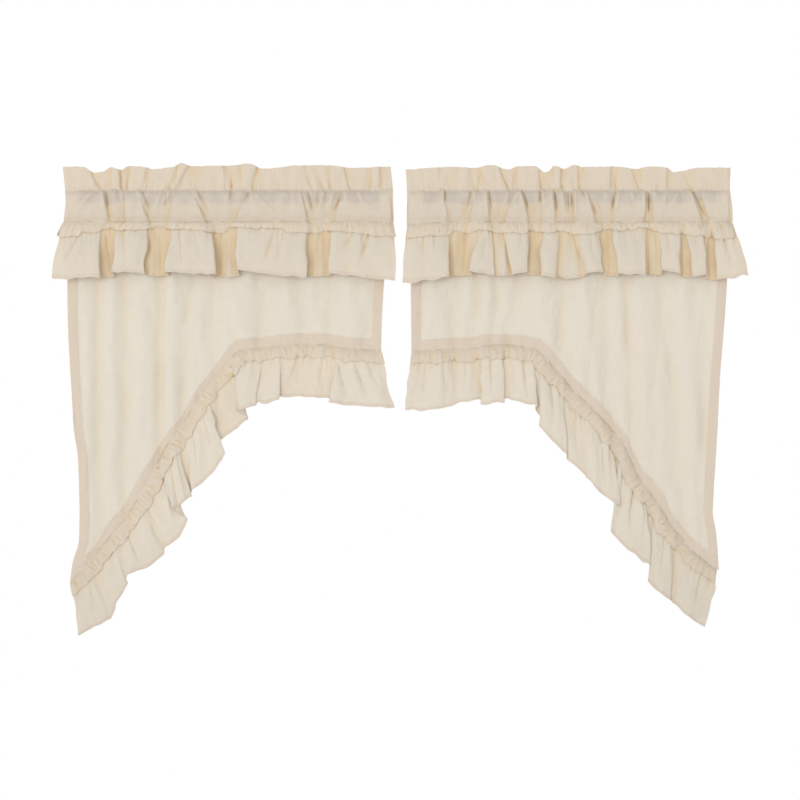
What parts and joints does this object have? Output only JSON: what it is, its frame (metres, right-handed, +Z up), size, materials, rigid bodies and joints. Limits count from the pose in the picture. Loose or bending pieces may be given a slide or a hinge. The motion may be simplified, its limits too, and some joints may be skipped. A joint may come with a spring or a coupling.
{
  "type": "pair of swag and tail drapes",
  "caption": "Gathered muslin swag panels with a rod pocket, a ruffled valance and a curved lower edge whose ruffle runs down to a pointed tail.",
  "frame": {"origin": "the middle of the pair's top edge, where the cloth hangs from the rod", "axes": "+X to the right along the rod, +Y to the back towards the window, +Z up"},
  "size_m": [1.35, 0.0372, 0.917],
  "materials": {
    "muslin_panel": "matte plain weave, one thin layer, with side hems and a faced lower edge",
    "muslin_heading": "matte plain weave in two layers, gathered",
    "muslin_ruffle": "matte plain weave, gathered, with a narrow stitched hem",
    "muslin_frill": "matte plain weave, finely gathered, with a rolled edge"
  },
  "bodies": {
    "root": {"left_heading_pocket": "muslin_heading", "left_valance_ruffle": "muslin_ruffle", "left_valance_frill": "muslin_frill", "left_swag_panel": "muslin_panel", "left_swag_ruffle": "muslin_ruffle", "left_swag_frill": "muslin_frill", "right_heading_pocket": "muslin_heading", "right_valance_ruffle": "muslin_ruffle", "right_valance_frill": "muslin_frill", "right_swag_panel": "muslin_panel", "right_swag_ruffle": "muslin_ruffle", "right_swag_frill": "muslin_frill"}
  },
  "joints": []
}
